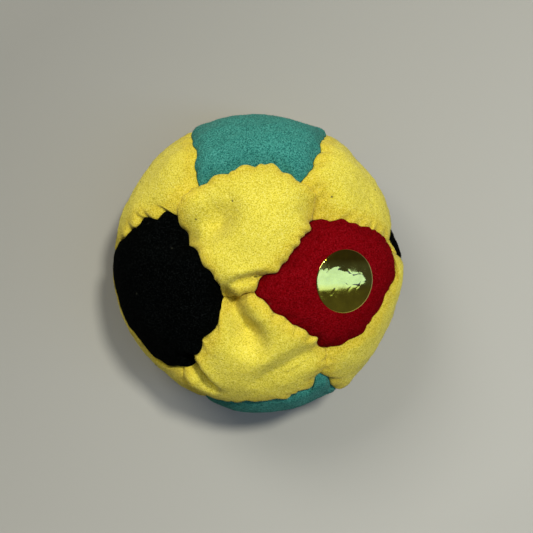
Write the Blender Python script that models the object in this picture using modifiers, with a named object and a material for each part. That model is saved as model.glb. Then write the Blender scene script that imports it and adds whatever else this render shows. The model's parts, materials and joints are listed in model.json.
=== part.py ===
"""A hand-sewn footbag: fourteen suede panels stitched round a loose filling.

The bag is a soft ball that has slumped where it was dropped. Six square panels
face six ways and eight six-sided panels fill in between them. Each panel is a
crowned shell whose sewing allowance turns inwards along every seam. Threads
run through needle holes in the allowances and draw neighbouring panels
together. Metres, +Z up, photo right = +X, photo top = +Y. All directions are
taken from the heart, a point inside the bag at its widest level.
"""

import math

import bmesh
import bpy
from mathutils import Vector

# Driving dimensions of the slumped bag
HALF_WIDTH = 0.0303
HALF_LENGTH = 0.0312
DOME_RISE = 0.0220
HEART_HEIGHT = 0.0150
SAG = 0.0175
FLOOR_BLEND = 0.0010

# How square the dome's shoulders are: 2 is an ellipsoid
FULLNESS_SHARE = 2.2

# The bag's outline from above, in 16 equal steps anticlockwise from +X
OUTLINE_SHARES = (
    1.000, 0.956, 0.966, 1.003, 0.997, 1.003, 0.989, 0.986,
    1.000, 1.009, 0.995, 1.001, 1.003, 1.003, 1.001, 0.992,
)

# Suede, seams and thread
SUEDE = 0.0009
SEAM_GAP = 0.0003
ALLOWANCE = 0.0034
SEAM_VALLEY = 0.0016
CORNER_VALLEY = 0.0025
NEEDLE_HOLE = 0.0009
THREAD_RADIUS = 0.00016
THREAD_CLEARANCE = 0.00026
FILLING_CLEARANCE = 0.0005
SHOULDER_DROP = 0.0010

# The round foil seal on the red panel
SEAL_RADIUS = 0.0060
SEAL_THICKNESS = 0.00015
SEAL_CLEARANCE = 0.00020
SEAL_LONGITUDE = -12.5
SEAL_LATITUDE = 47.75
SEAL_SIDE_COUNT = 24
SEAL_RING_COUNT = 3

# Counts
LONG_STITCH_COUNT = 4
SHORT_STITCH_COUNT = 2
PANEL_RING_COUNT = 4
FILLING_RING_COUNT = 3

# How fast a panel falls away towards its seams, and a seam towards its corners
CROWN_POWER_SHARE = 4.0
CORNER_POWER_SHARE = 3.0

# Depth of the valleys where the skin is taut, at and below the widest level
TAUT_SHARE = 0.3

# Points of the filling this near each other, as a share of the seam gap, become one
WELD_SHARE = 0.01

# Where a loose thread end stops on its way back to the run's other end
TAIL_SHARE = 0.3

ANGLE_SHADED_SHARP = math.radians(50)

SQUARES = {
    "black_left": "black_panel_left",
    "black_right": "black_panel_right",
    "teal_back": "teal_panel_back",
    "teal_front": "teal_panel_front",
    "red_top": "red_panel_top",
    "red_under": "red_panel_under",
}
OPPOSITE = {
    "black_left": "black_right",
    "black_right": "black_left",
    "teal_back": "teal_front",
    "teal_front": "teal_back",
    "red_top": "red_under",
    "red_under": "red_top",
}

# Seam corners, as degrees of longitude and latitude seen from the heart. Each
# square has one corner towards each square beside it. Those on top are read
# from the photograph, and those below close the pattern with equal sides.
CORNERS = {
    ("teal_back", "black_left"): (128.0, 41.0),
    ("teal_back", "red_top"): (63.0, 43.5),
    ("teal_back", "black_right"): (61.5, 2.5),
    ("teal_back", "red_under"): (115.5, 1.5),
    ("black_left", "teal_back"): (152.0, 36.0),
    ("black_left", "red_top"): (-134.0, 65.0),
    ("black_left", "teal_front"): (-126.0, 24.5),
    ("black_left", "red_under"): (175.0, 2.5),
    ("red_top", "black_left"): (-95.0, 75.0),
    ("red_top", "teal_back"): (37.5, 53.0),
    ("red_top", "black_right"): (8.0, 14.5),
    ("red_top", "teal_front"): (-50.5, 35.5),
    ("teal_front", "red_top"): (-60.5, 25.0),
    ("teal_front", "black_left"): (-113.0, 10.5),
    ("teal_front", "black_right"): (-49.0, -18.5),
    ("teal_front", "red_under"): (-107.0, -33.0),
    ("black_right", "red_top"): (6.0, 2.0),
    ("black_right", "teal_back"): (50.0, -8.5),
    ("black_right", "teal_front"): (-32.0, -28.5),
    ("black_right", "red_under"): (55.0, -53.0),
    ("red_under", "black_left"): (178.0, -12.0),
    ("red_under", "teal_back"): (128.0, -10.0),
    ("red_under", "black_right"): (93.0, -50.0),
    ("red_under", "teal_front"): (-131.0, -46.0),
}

# Seams that bow: how far the middle lies left of the straight way from the first
# corner to the second, as a share of the seam's length
BOW_SHARES = {
    (("teal_back", "black_left"), ("teal_back", "red_top")): 0.10,
    (("teal_back", "red_under"), ("teal_back", "black_left")): 0.04,
    (("black_left", "teal_back"), ("black_left", "red_top")): 0.07,
    (("red_top", "black_left"), ("red_top", "teal_back")): -0.04,
}

# Each slot's colour, roughness and metallic value
MATERIALS = {
    "yellow_suede": ((0.64, 0.57, 0.11), 0.90, 0.0),
    "black_suede": ((0.005, 0.005, 0.006), 0.90, 0.0),
    "red_suede": ((0.23, 0.004, 0.010), 0.85, 0.0),
    "teal_suede": ((0.045, 0.22, 0.17), 0.90, 0.0),
    "sewing_thread": ((0.35, 0.33, 0.26), 0.70, 0.0),
    "loose_filling": ((0.55, 0.50, 0.38), 0.80, 0.0),
    "gold_foil": ((0.40, 0.33, 0.06), 0.20, 1.0),
}


def clear_scene():
    for obj in list(bpy.data.objects):
        bpy.data.objects.remove(obj, do_unlink=True)


def bag_collection():
    collection = bpy.data.collections.new("footbag")
    bpy.context.scene.collection.children.link(collection)
    return collection


def material_of(slot):
    """The slot's material, made on its first use."""
    found = bpy.data.materials.get(slot)
    if found:
        return found
    colour, roughness, metallic = MATERIALS[slot]
    material = bpy.data.materials.new(slot)
    material.use_nodes = True
    shader = material.node_tree.nodes["Principled BSDF"]
    shader.inputs["Base Color"].default_value = (*colour, 1.0)
    shader.inputs["Roughness"].default_value = roughness
    shader.inputs["Metallic"].default_value = metallic
    return material


def direction(longitude, latitude):
    turn, rise = math.radians(longitude), math.radians(latitude)
    flat = math.cos(rise)
    return Vector((flat * math.cos(turn), flat * math.sin(turn), math.sin(rise)))


def outline_share(ray):
    """A smooth closed curve through the outline's shares, read at a direction."""
    steps = len(OUTLINE_SHARES)
    place = math.atan2(ray.y, ray.x) / math.tau * steps
    first = math.floor(place)
    part = place - first
    before, start, end, after = (OUTLINE_SHARES[(first + i) % steps] for i in (-1, 0, 1, 2))
    bend = 2 * before - 5 * start + 4 * end - after
    twist = 3 * start - before - 3 * end + after
    return 0.5 * (2 * start + (end - before) * part + bend * part**2 + twist * part**3)


def skin_reach(ray):
    """Distance from the heart to the bag's general form along a direction."""
    shape = outline_share(ray)
    depth = DOME_RISE if ray.z > 0 else SAG
    level = math.hypot(ray.x / HALF_WIDTH, ray.y / HALF_LENGTH) / shape
    return (level**FULLNESS_SHARE + abs(ray.z / depth) ** FULLNESS_SHARE) ** (-1 / FULLNESS_SHARE)


def above_floor(point):
    """The point, lifted straight up where it hangs below what the bag lies on."""
    floor = -HEART_HEIGHT
    if point.z < floor - FLOOR_BLEND:
        return Vector((point.x, point.y, floor))
    blend = max(FLOOR_BLEND - abs(point.z - floor), 0.0) / FLOOR_BLEND
    return Vector((point.x, point.y, max(point.z, floor) + FLOOR_BLEND * blend**2 / 4))


def way_in(point):
    """Unit step into the bag at a point of its skin, square to the bag's general form."""
    depth = DOME_RISE if point.z > 0 else SAG
    out = Vector((point.x / HALF_WIDTH**2, point.y / HALF_LENGTH**2, point.z / depth**2))
    return -out.normalized()


def seam_ray(start, end, share):
    """Direction to a point of the seam between two corners, the same from either end."""
    if (end, start) in BOW_SHARES or ((start, end) not in BOW_SHARES and start > end):
        start, end, share = end, start, 1 - share
    first, last = direction(*CORNERS[start]), direction(*CORNERS[end])
    left = first.cross(last) * BOW_SHARES.get((start, end), 0.0)
    return (first.slerp(last, share) + left * math.sin(math.pi * share)).normalized()


def seam_drop(ray, share):
    """Depth of a seam's valley: deepest at its two corners and where the skin is slack, on top."""
    to_corner = abs(2 * share - 1) ** CORNER_POWER_SHARE
    slack = TAUT_SHARE + (1 - TAUT_SHARE) * max(ray.z, 0.0)
    return slack * (SEAM_VALLEY + (CORNER_VALLEY - SEAM_VALLEY) * to_corner)


class Edge:
    """One point of a panel's rim, with its steps along the skin into the panel and into the bag."""

    def __init__(self, ray, drop):
        self.ray = ray
        self.drop = drop
        self.hanging = ray * (skin_reach(ray) - drop)
        self.point = above_floor(self.hanging)
        self.down = way_in(self.point)
        self.inward = Vector()

    def place(self, inset, depth=0.0):
        return above_floor(self.hanging + self.inward * inset) + self.down * depth


class Panel:
    """A panel's name, its corners in order and the points of its rim."""

    def __init__(self, name, slot, corners):
        self.name = name
        self.slot = slot
        rays = [direction(*CORNERS[key]) for key in corners]
        self.centre = sum(rays, Vector()).normalized()
        if rays[0].cross(rays[1]).dot(self.centre) < 0:
            corners = corners[::-1]
        self.corners = corners
        self.edges = self.rim()
        self.set_inward()

    def rim(self):
        edges = []
        for i, start in enumerate(self.corners):
            end = self.corners[(i + 1) % len(self.corners)]
            stitches = stitches_between(start, end)
            for j in range(stitches):
                share = j / stitches
                ray = seam_ray(start, end, share)
                edges.append(Edge(ray, seam_drop(ray, share)))
        return edges

    def set_inward(self):
        """Each rim point's step into the panel that moves both seams beside it by one unit."""
        steps = [self.across(i) for i in range(len(self.edges))]
        for i, edge in enumerate(self.edges):
            edge.inward = (steps[i - 1] + steps[i]) / (1 + steps[i - 1].dot(steps[i]))

    def across(self, index):
        """Unit step into the panel, square to the stretch of rim that starts at this point."""
        start = self.edges[index]
        end = self.edges[(index + 1) % len(self.edges)]
        return (end.point - start.point).cross(start.down + end.down).normalized()

    def crown(self, share, index, depth=0.0):
        """Point on the panel between its centre and its rim, a depth below its face."""
        edge = self.edges[index]
        ray = self.centre.lerp(edge.ray, share).normalized()
        drop = edge.drop * share**CROWN_POWER_SHARE
        point = above_floor(ray * (skin_reach(ray) - drop))
        return point + way_in(point) * depth


def stitches_between(start, end):
    """A seam along one square is long, and a seam between two squares is short."""
    return LONG_STITCH_COUNT if start[0] == end[0] else SHORT_STITCH_COUNT


def square_panels():
    panels = []
    for square, name in SQUARES.items():
        beside = [other for other in SQUARES if other not in (square, OPPOSITE[square])]
        ring = [beside[0], beside[2], beside[1], beside[3]]
        slot = square.split("_")[0] + "_suede"
        panels.append(Panel(name, slot, [(square, other) for other in ring]))
    return panels


def yellow_panels():
    panels = []
    for black in ("black_left", "black_right"):
        for teal in ("teal_back", "teal_front"):
            for red in ("red_top", "red_under"):
                places = [square.split("_")[1] for square in (black, teal, red)]
                corners = [
                    (black, teal), (teal, black), (teal, red),
                    (red, teal), (red, black), (black, red),
                ]
                name = "yellow_panel_" + "_".join(places)
                panels.append(Panel(name, "yellow_suede", corners))
    return panels


def ring_grid(sides, rings, extra_rings):
    """An open dome of sides and rings from a sphere, with rings below its rim to turn in."""
    grid = bmesh.new()
    bmesh.ops.create_uvsphere(grid, u_segments=sides, v_segments=2 * rings, radius=1.0)
    last = rings + extra_rings
    step = math.pi / (2 * rings)
    below = [v for v in grid.verts if math.acos(max(-1.0, min(1.0, v.co.z))) > (last + 0.5) * step]
    bmesh.ops.delete(grid, geom=below, context="VERTS")
    return grid


def ring_and_side(vertex, sides, rings):
    """Which ring and which side of the rim a point of ring_grid belongs to."""
    polar = math.acos(max(-1.0, min(1.0, vertex.co.z)))
    ring = round(polar / (math.pi / 2) * rings)
    side = round(math.atan2(vertex.co.y, vertex.co.x) / math.tau * sides) % sides
    return ring, side


def cut_needle_holes(shell, flange):
    """A square hole through the middle of each stretch of turned-in allowance."""
    half = NEEDLE_HOLE / 2
    middles = {face: face.calc_center_median() for face in flange}
    bmesh.ops.inset_individual(shell, faces=flange, thickness=half, use_even_offset=True)
    for face, middle in middles.items():
        corners = list(face.verts)
        along = (corners[1].co - corners[0].co).normalized() * half
        down = face.normal.cross(along).normalized() * half
        for vertex, place in zip(corners, (-along - down, along - down, along + down, down - along)):
            vertex.co = middle + place
    bmesh.ops.delete(shell, geom=flange, context="FACES_ONLY")


def shell_mesh(panel):
    """The panel's outer face with its turned-in allowance, open on the inside."""
    sides = len(panel.edges)
    shell = ring_grid(sides, PANEL_RING_COUNT, 1)
    places = {v: ring_and_side(v, sides, PANEL_RING_COUNT) for v in shell.verts}
    flange = [f for f in shell.faces if any(places[v][0] > PANEL_RING_COUNT for v in f.verts)]
    for vertex, (ring, side) in places.items():
        if ring < PANEL_RING_COUNT:
            vertex.co = panel.crown(ring / PANEL_RING_COUNT, side)
        elif ring == PANEL_RING_COUNT:
            vertex.co = panel.edges[side].place(SEAM_GAP / 2)
        else:
            vertex.co = panel.edges[side].place(SEAM_GAP / 2, ALLOWANCE)
    shell.normal_update()
    cut_needle_holes(shell, flange)
    return shell


def object_from(name, slot, mesh_data, collection):
    mesh = bpy.data.meshes.new(name)
    mesh_data.to_mesh(mesh)
    mesh_data.free()
    mesh.shade_smooth()
    mesh.set_sharp_from_angle(angle=ANGLE_SHADED_SHARP)
    mesh.materials.append(material_of(slot))
    obj = bpy.data.objects.new(name, mesh)
    collection.objects.link(obj)
    return obj


def add_panel(panel, collection):
    obj = object_from(panel.name, panel.slot, shell_mesh(panel), collection)
    thickness = obj.modifiers.new("suede", "SOLIDIFY")
    thickness.thickness = SUEDE
    thickness.offset = -1.0
    thickness.use_even_offset = True
    return obj


def thread_reach():
    """Distance from a seam's middle plane to the thread that lies along its allowance."""
    return SEAM_GAP / 2 + SUEDE + THREAD_CLEARANCE + THREAD_RADIUS


def groove():
    """Half the width of the groove that leaves room for a seam's allowances and thread."""
    return thread_reach() + THREAD_RADIUS + FILLING_CLEARANCE


def lobe_mesh(panel):
    """The part of the filling's surface that lies under one panel, out to the seams' middle."""
    sides = len(panel.edges)
    under = SUEDE + FILLING_CLEARANCE
    floor_of_groove = ALLOWANCE + FILLING_CLEARANCE
    lobe = ring_grid(sides, FILLING_RING_COUNT, 2)
    places = {v: ring_and_side(v, sides, FILLING_RING_COUNT) for v in lobe.verts}
    for vertex, (ring, side) in places.items():
        edge = panel.edges[side]
        if ring < FILLING_RING_COUNT:
            vertex.co = panel.crown(ring / FILLING_RING_COUNT, side, under)
        elif ring == FILLING_RING_COUNT:
            vertex.co = edge.place(groove(), under + SHOULDER_DROP)
        elif ring == FILLING_RING_COUNT + 1:
            vertex.co = edge.place(groove(), floor_of_groove)
        else:
            vertex.co = edge.place(0.0, floor_of_groove)
    return lobe


def add_filling(panels, collection):
    """One solid for the loose filling: a lobe under each panel, joined under the seams."""
    whole = bmesh.new()
    for panel in panels:
        lobe = lobe_mesh(panel)
        piece = bpy.data.meshes.new("lobe")
        lobe.to_mesh(piece)
        lobe.free()
        whole.from_mesh(piece)
        bpy.data.meshes.remove(piece)
    bmesh.ops.remove_doubles(whole, verts=whole.verts, dist=SEAM_GAP * WELD_SHARE)
    bmesh.ops.recalc_face_normals(whole, faces=whole.faces)
    return object_from("filling", "loose_filling", whole, collection)


def pierces(panel, first, stitches):
    """Where the thread passes each hole of one side: just inside this panel, then the next one."""
    found = []
    for index in range(first, first + stitches):
        start = panel.edges[index]
        end = panel.edges[(index + 1) % len(panel.edges)]
        middle = (start.place(0.0, ALLOWANCE / 2) + end.place(0.0, ALLOWANCE / 2)) / 2
        step = panel.across(index) * thread_reach()
        found.append((middle + step, middle - step))
    return found


def running_stitch(holes):
    """The thread's way through the holes, to the other side and back by turns."""
    path = []
    for i, (near, far) in enumerate(holes):
        path += [near, far] if i % 2 == 0 else [far, near]
    return path


def add_thread(name, path, between, collection):
    """A thread along a path, its two ends led towards one point without meeting."""
    ends = [path[0].lerp(between, TAIL_SHARE), path[-1].lerp(between, TAIL_SHARE)]
    points = [ends[0], *path, ends[1]]
    curve = bpy.data.curves.new(name, "CURVE")
    curve.dimensions = "3D"
    curve.bevel_depth = THREAD_RADIUS
    curve.bevel_resolution = 0
    curve.use_fill_caps = True
    spline = curve.splines.new("POLY")
    spline.points.add(len(points) - 1)
    for point, place in zip(spline.points, points):
        point.co = (*place, 1.0)
    curve.materials.append(material_of("sewing_thread"))
    obj = bpy.data.objects.new(name, curve)
    collection.objects.link(obj)
    return obj


def add_square_thread(panel, square, collection):
    """One thread round a square's four sides, turning each corner inside the square."""
    path = []
    for i in range(len(panel.corners)):
        first = i * LONG_STITCH_COUNT
        if i:
            path.append(panel.edges[first].place(thread_reach(), ALLOWANCE / 2))
        path += running_stitch(pierces(panel, first, LONG_STITCH_COUNT))
    corner = panel.edges[0].place(thread_reach(), ALLOWANCE / 2)
    return add_thread(f"{square}_seam_thread", path, corner, collection)


def add_short_threads(panel, made, collection):
    """A thread for each short seam of a yellow panel that has none yet."""
    threads = []
    first = 0
    for i, start in enumerate(panel.corners):
        end = panel.corners[(i + 1) % len(panel.corners)]
        stitches = stitches_between(start, end)
        seam = tuple(sorted((start[0], end[0])))
        if start[0] != end[0] and seam not in made:
            made.add(seam)
            holes = pierces(panel, first, stitches)
            middle = (holes[0][0] + holes[-1][0]) / 2
            name = f"short_seam_thread_{seam[0]}_{seam[1]}"
            threads.append(add_thread(name, running_stitch(holes), middle, collection))
        first += stitches
    return threads


def add_seal(red_panel, collection):
    """A thin foil disc pressed to the crown of the red panel on top."""
    ray = direction(SEAL_LONGITUDE, SEAL_LATITUDE)
    disc = ring_grid(SEAL_SIDE_COUNT, SEAL_RING_COUNT, 0)
    for vertex in disc.verts:
        ring, side = ring_and_side(vertex, SEAL_SIDE_COUNT, SEAL_RING_COUNT)
        turn = math.tau * side / SEAL_SIDE_COUNT
        reach = SEAL_RADIUS * ring / SEAL_RING_COUNT
        vertex.co = Vector((reach * math.cos(turn), reach * math.sin(turn), 0.0))
    obj = object_from("foil_seal", "gold_foil", disc, collection)
    obj.rotation_euler = ray.to_track_quat("Z", "Y").to_euler()
    obj.location = ray * (skin_reach(ray) + SEAL_RADIUS)
    wrap = obj.modifiers.new("pressed on", "SHRINKWRAP")
    wrap.target = red_panel
    wrap.wrap_method = "PROJECT"
    wrap.use_project_z = True
    wrap.use_positive_direction = False
    wrap.use_negative_direction = True
    wrap.offset = SEAL_CLEARANCE
    foil = obj.modifiers.new("foil", "SOLIDIFY")
    foil.thickness = SEAL_THICKNESS
    foil.offset = 1.0
    return obj


def set_on_floor(objects, collection):
    """Hangs the pieces on one empty and moves it: box centre over the origin, base at zero."""
    bag = bpy.data.objects.new("footbag_origin", None)
    collection.objects.link(bag)
    bpy.context.view_layer.update()
    corners = [obj.matrix_world @ Vector(corner) for obj in objects for corner in obj.bound_box]
    middle_x = (min(c.x for c in corners) + max(c.x for c in corners)) / 2
    middle_y = (min(c.y for c in corners) + max(c.y for c in corners)) / 2
    for obj in objects:
        obj.parent = bag
    bag.location = (-middle_x, -middle_y, HEART_HEIGHT)


def main():
    clear_scene()
    collection = bag_collection()
    squares = square_panels()
    yellows = yellow_panels()
    objects = [add_panel(panel, collection) for panel in squares + yellows]
    red_panel = next(obj for obj in objects if obj.name == SQUARES["red_top"])
    objects.append(add_seal(red_panel, collection))
    objects.append(add_filling(squares + yellows, collection))
    for panel, square in zip(squares, SQUARES):
        objects.append(add_square_thread(panel, square, collection))
    made = set()
    for panel in yellows:
        objects += add_short_threads(panel, made, collection)
    set_on_floor(objects, collection)


main()
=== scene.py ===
"""The looks of a hand-sewn suede footbag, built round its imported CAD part.

Every CAD node gets a finer piece in its place: puckered suede panels with folded
seams, running stitches through their needle holes, the loose filling and a
creased foil seal. Metres, +Z up, in the CAD part's own frame.
"""

import itertools
import json
import math
import random

import bmesh
import bpy
import numpy as np
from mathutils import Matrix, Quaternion, Vector, noise
from mathutils.bvhtree import BVHTree

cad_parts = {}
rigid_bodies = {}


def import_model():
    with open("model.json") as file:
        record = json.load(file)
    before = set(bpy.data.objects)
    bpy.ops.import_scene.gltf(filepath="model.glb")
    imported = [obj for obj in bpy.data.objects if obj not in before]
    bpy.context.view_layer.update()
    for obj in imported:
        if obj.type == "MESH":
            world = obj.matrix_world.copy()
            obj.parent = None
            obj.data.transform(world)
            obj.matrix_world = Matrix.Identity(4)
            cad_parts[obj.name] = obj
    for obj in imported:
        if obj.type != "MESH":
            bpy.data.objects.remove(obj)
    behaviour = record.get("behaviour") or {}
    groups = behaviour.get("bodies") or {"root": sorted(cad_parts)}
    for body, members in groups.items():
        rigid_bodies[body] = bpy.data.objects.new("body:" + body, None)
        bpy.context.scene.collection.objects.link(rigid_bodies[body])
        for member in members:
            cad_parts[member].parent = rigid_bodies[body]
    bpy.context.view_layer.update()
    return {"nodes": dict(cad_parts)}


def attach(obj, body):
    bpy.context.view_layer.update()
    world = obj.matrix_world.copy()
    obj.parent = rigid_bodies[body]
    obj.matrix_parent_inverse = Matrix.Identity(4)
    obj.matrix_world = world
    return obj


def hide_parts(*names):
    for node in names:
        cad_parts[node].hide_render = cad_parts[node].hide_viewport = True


for default in list(bpy.data.objects):
    bpy.data.objects.remove(default, do_unlink=True)
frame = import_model()

bl_info = {
    "name": "Footbag",
    "version": (1, 0, 0),
    "blender": (4, 5, 0),
    "location": "3D View > Sidebar > Footbag",
    "description": "Builds the panels, stitches, filling and seal of a sewn footbag",
    "category": "Add Mesh",
}

# The slumped bag's general form, as in the CAD part
HEART = np.array((-0.00005, 0.00019, 0.0150))
HALF_WIDTH = 0.0303
HALF_LENGTH = 0.0312
DOME_RISE = 0.0220
SAG = 0.0175
FLOOR_BLEND = 0.0010
FULLNESS = 2.2
OUTLINE = (
    1.000, 0.956, 0.966, 1.003, 0.997, 1.003, 0.989, 0.986,
    1.000, 1.009, 0.995, 1.001, 1.003, 1.003, 1.001, 0.992,
)
SEAM_GAP = 0.0003
TOUCH_GAP = 0.00006
ALLOWANCE = 0.0034
THREAD_CLEARANCE = 0.00026

# The six squares in the pairs that face away from each other, and each one's node
PAIRS = (("black_left", "black_right"), ("teal_back", "teal_front"), ("red_top", "red_under"))
OPPOSITE = {one: other for pair in PAIRS for one, other in (pair, pair[::-1])}
SQUARES = {square: square.replace("_", "_panel_") for pair in PAIRS for square in pair}

# Each square's corners by the square that they point at, in degrees of longitude and latitude
# from the heart. Those in sight lie where the photo shows them, up to 2.3 mm from the CAD
# part's; the others are the CAD part's.
CORNERS = {
    "teal_back": {"black_left": (128.3, 40.5), "red_top": (62.0, 43.4),
                  "black_right": (61.5, 2.5), "red_under": (115.5, 1.5)},
    "black_left": {"teal_back": (149.8, 40.2), "red_top": (-135.0, 60.8),
                   "teal_front": (-125.8, 22.0), "red_under": (175.0, 2.5)},
    "red_top": {"black_left": (-98.0, 73.0), "teal_back": (37.8, 50.2),
                "black_right": (8.0, 14.5), "teal_front": (-51.8, 34.0)},
    "teal_front": {"red_top": (-61.2, 25.2), "black_left": (-113.0, 10.5),
                   "black_right": (-49.0, -18.5), "red_under": (-107.0, -33.0)},
    "black_right": {"red_top": (3.0, 3.0), "teal_back": (50.0, -8.5),
                    "teal_front": (-32.0, -28.5), "red_under": (55.0, -53.0)},
    "red_under": {"black_left": (178.0, -12.0), "teal_back": (128.0, -10.0),
                  "black_right": (93.0, -50.0), "teal_front": (-131.0, -46.0)},
}

# How far each seam in sight strays to the left of the straight way from its first to its
# second corner, in hundredths of a millimetre at even steps. Measured on the photo, but for
# the ends at the corners and the last of them, which are judged.
SEAM_TRACES = {
    (("teal_back", "black_left"), ("teal_back", "red_top")): (
        0, -25, -10, 40, 95, 105, 90, 85, 75, 65, 95, 155, 190, 195, 190, 185, 195, 205, 220, 255, 265,
        210, 160, 150, 130, 95, 65, 5, 0),
    (("teal_back", "red_under"), ("teal_back", "black_left")): (
        0, 0, 5, 10, 10, 15, 20, 15, 25, 40, 65, 70, 80, 80, 90, 110, 155, 160, 165, 145, 110, 70, 40,
        40, 45, 30, 25, 35, 0),
    (("teal_back", "red_top"), ("teal_back", "black_right")): (
        0, -30, -60, -45, -45, -75, -85, -40, -20, -30, -30, -55, -75, -45, 10, 30, 40, 40, 35, 15, 10,
        15, 30, 15, 15, 10, 5, 5, 0),
    (("black_left", "teal_back"), ("black_left", "red_top")): (
        0, -55, -110, -80, -20, -20, -70, -100, -115, -60, 30, 85, 120, 140, 140, 135, 110, 100, 160,
        205, 200, 180, 175, 165, 155, 140, 110, 65, 0),
    (("black_left", "red_top"), ("black_left", "teal_front")): (
        0, 50, 70, 85, 110, 155, 190, 220, 225, 210, 175, 145, 130, 105, 95, 135, 180, 175, 170, 130,
        30, -15, 80, 200, 220, 205, 235, 185, 0),
    (("black_left", "teal_front"), ("black_left", "red_under")): (
        0, 215, 315, 325, 355, 410, 405, 320, 220, 150, 160, 195, 220, 220, 215, 200, 180, 160, 130,
        100, 70, 40, 15, 0, 0, 0, 0, 0, 0),
    (("black_left", "red_under"), ("black_left", "teal_back")): (
        0, -10, -20, -30, -35, -15, 5, -25, -50, -75, -105, -65, -10, 5, -15, -55, -25, 55, 90, 90, 65,
        5, -40, -20, 50, 120, 145, 100, 0),
    (("red_top", "black_left"), ("red_top", "teal_back")): (
        0, 30, 50, 75, 95, 110, 105, 35, -35, -55, -40, -45, -55, -60, -10, -15, -40, -35, -30, -25,
        -10, 0, -25, -50, -90, -30, 80, 75, 0),
    (("red_top", "teal_back"), ("red_top", "black_right")): (
        0, 0, 5, -10, -35, -40, -25, 10, 20, -10, -40, -35, -25, -40, -45, -30, -5, -5, -25, -10, 5,
        -25, -30, 0, 15, -10, -60, -75, 0),
    (("red_top", "black_right"), ("red_top", "teal_front")): (
        0, 80, 195, 255, 325, 385, 350, 305, 265, 200, 150, 170, 210, 240, 245, 225, 215, 205, 220, 265,
        280, 235, 200, 190, 160, 130, 120, 80, 0),
    (("red_top", "teal_front"), ("red_top", "black_left")): (
        0, 85, 75, 15, -80, -130, -75, -50, -75, -105, -100, -70, -50, -35, -35, -40, -50, -45, -10, 20,
        15, 5, -20, -30, -35, -30, 0, 35, 0),
    (("teal_front", "red_top"), ("teal_front", "black_left")): (
        0, 75, 185, 240, 220, 130, 70, 85, 135, 105, 30, 15, 10, -40, -65, -45, -45, -80, -115, -60, -5,
        -5, -25, -10, 50, 60, 40, 20, 0),
    (("teal_front", "black_right"), ("teal_front", "red_top")): (
        0, 0, 0, 0, 0, 0, 0, 0, 0, 0, 0, 0, 0, 0, 5, 20, 40, 60, 85, 105, 100, 75, 40, -5, -50, -60,
        -55, -55, 0),
    (("black_left", "red_top"), ("red_top", "black_left")): (
        0, -20, -15, 10, 35, 35, 0),
    (("red_top", "teal_back"), ("teal_back", "red_top")): (
        0, -35, -90, -122, -100, -50, 0),
    (("black_right", "red_top"), ("black_right", "teal_back")): (
        0, 120, 140, 60, 0, -30, -30, -20, 0),
}
STRAY_UNIT = 0.00001

# A traced seam: steps that it is smoothed at, over how many, and how fast it sets out
TRACE_STEPS = 141
TRACE_REACH = 3
TRACE_START = 10

# Stitches: how far one wanders and is looked for in arcs, the pull to its even place, how
# tight a corner and the others are, how full the arcs are, and the share left of an arc where
# the seam is traced
STITCH_WANDER = 0.16
STITCH_SEARCH = 0.3
STITCH_PULL = 0.0003
CORNER_HOLD = 0.8
STITCH_HOLDS = (0.35, 1.2)
ARC_FULLNESS = (0.4, 1.5)
TRACED_ARC_SHARE = 0.35
ARC_START = 6

# A seam's wide valley and what a corner adds to it; the shares of the wide and the tight
# valley at the bag's waist, what its top adds, and underneath; how far in from the rim its
# small bends, the lift, the crinkles and the painted shade with soiling along it die out
BROAD_DEPTH = 0.0011
BROAD_CORNER = 0.0008
BROAD_SHARES = (0.55, 0.45, 0.3)
TIGHT_SHARES = (0.7, 0.3, 0.5)
CALM_REACH = 0.0020
LIFT_REACH = 0.0032
CRINKLE_REACH = 0.0018
SEAM_SHADE_AND_SOILING_REACH = 0.0012

# Which panel folds over which: how much of the usual lift, the depth of the arcs
# between its stitches, and how much of the usual valley the seam has
OVERLAPS = {
    ("yellow_panel_left_back_top", "teal_panel_back"): (1.0, 0.00022, 1.0),
    ("black_panel_left", "yellow_panel_left_back_top"): (0.3, 0.00022, 0.9),
    ("black_panel_left", "yellow_panel_left_front_top"): (0.6, 0.00050, 1.0),
    ("yellow_panel_left_back_under", "black_panel_left"): (0.5, 0.00035, 1.0),
    ("black_panel_left", "yellow_panel_left_front_under"): (0.3, 0.00015, 1.0),
    ("yellow_panel_left_back_top", "red_panel_top"): (1.0, 0.00024, 1.0),
    ("yellow_panel_left_front_top", "red_panel_top"): (0.5, 0.00026, 0.8),
    ("red_panel_top", "yellow_panel_right_back_top"): (0.6, 0.00008, 0.8),
    ("red_panel_top", "yellow_panel_right_front_top"): (0.4, 0.00014, 0.8),
    ("yellow_panel_right_back_top", "teal_panel_back"): (0.3, 0.00026, 0.7),
    ("teal_panel_back", "yellow_panel_left_back_under"): (0.2, 0.00012, 0.7),
    ("yellow_panel_left_front_top", "teal_panel_front"): (1.0, 0.00020, 1.2),
    ("yellow_panel_right_front_top", "teal_panel_front"): (0.7, 0.00020, 1.0),
    ("yellow_panel_left_back_top", "yellow_panel_left_front_top"): (1.0, 0.00008, 2.0),
    ("yellow_panel_left_back_top", "yellow_panel_right_back_top"): (1.0, 0.00015, 1.7),
    ("yellow_panel_left_back_top", "yellow_panel_left_back_under"): (0.2, 0.00008, 0.35),
    ("yellow_panel_left_front_top", "yellow_panel_left_front_under"): (0.2, 0.00008, 0.35),
    ("yellow_panel_left_front_top", "yellow_panel_right_front_top"): (0.2, 0.00008, 0.35),
}
USUAL_OVERLAP = (0.4, 0.00020, 0.8)

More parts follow.
